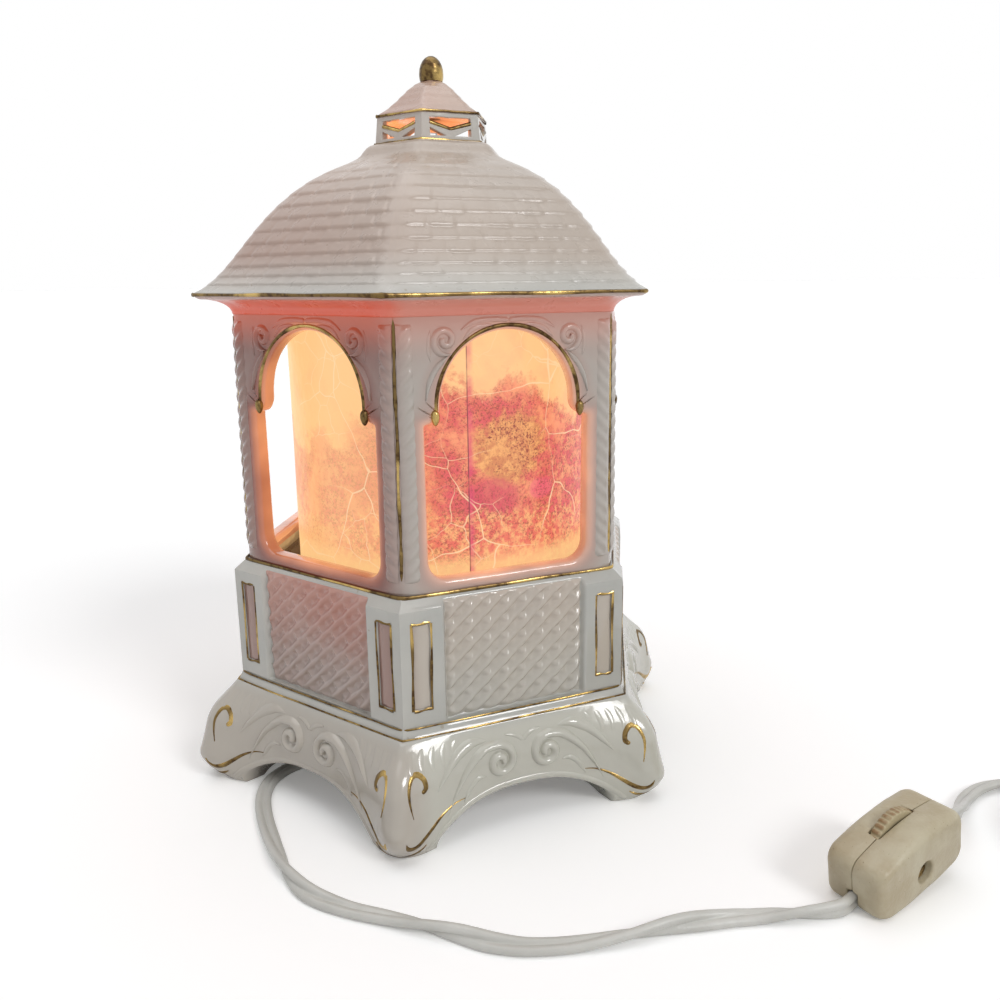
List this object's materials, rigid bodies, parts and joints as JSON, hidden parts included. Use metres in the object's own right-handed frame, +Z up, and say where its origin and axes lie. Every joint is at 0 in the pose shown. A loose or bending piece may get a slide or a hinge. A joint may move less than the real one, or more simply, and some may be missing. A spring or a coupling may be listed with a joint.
{
  "type": "rotating motion lamp",
  "caption": "Hexagonal glazed pavilion lamp with arched windows, a turning picture drum over a bulb, and a twin cord with a thumb-wheel switch.",
  "frame": {"origin": "on the table under the centre of the six-sided base", "axes": "+Z up; -Y out of the front window; +X to the right of that window, a corner of the base lying on +X"},
  "size_m": [0.3371, 0.2986, 0.2455],
  "materials": {
    "porcelain": "glossy",
    "gilding": "polished",
    "steel": "satin",
    "brass": "satin",
    "bakelite": "satin",
    "glass": "clear",
    "film": "translucent",
    "beige_plastic": "satin",
    "cream_plastic": "satin",
    "white_pvc": "satin"
  },
  "bodies": {
    "house": {"base_skirt": "porcelain", "pedestal": "porcelain", "lattice_panels": "porcelain", "tower_walls": "porcelain", "roof": "porcelain", "cupola_walls": "porcelain", "cupola_roof": "porcelain", "finial": "gilding", "bottom_plate": "steel", "plate_screws": "steel", "plate_nuts": "steel", "lamp_nipple": "brass", "nipple_nuts": "brass", "cord_bushing": "bakelite", "inner_leads": "white_pvc", "socket_body": "bakelite", "screw_shell": "brass", "centre_contact": "brass", "bulb_cap": "brass", "bulb_glass": "glass", "filament_mount": "steel", "pivot_bail": "steel", "pivot_needle": "steel", "switch_front_shell": "beige_plastic", "switch_back_shell": "beige_plastic", "switch_screw": "brass", "switch_nut": "brass", "switch_contacts": "brass", "cord_lamp": "white_pvc", "cord_lead": "white_pvc", "cord_coil": "white_pvc", "coil_tie": "bakelite", "plug_body": "white_pvc", "plug_blades": "brass"},
    "drum": {"drum_film": "film", "upper_hoop": "steel", "lower_hoop": "steel", "fan_cap": "steel", "bearing_cup": "brass"},
    "thumb_wheel": {"switch_wheel": "cream_plastic"}
  },
  "joints": [
    {"name": "drum_spin", "type": "hinge", "parent": "house", "child": "drum", "pos_m": [0, 0, 0.165], "axis": [0, 0, 1], "continuous": true},
    {"name": "switch_wheel_spin", "type": "hinge", "parent": "house", "child": "thumb_wheel", "pos_m": [0.08311, -0.14439, 0.01271], "axis": [-0.1839, 0.9829, 0], "continuous": true}
  ]
}
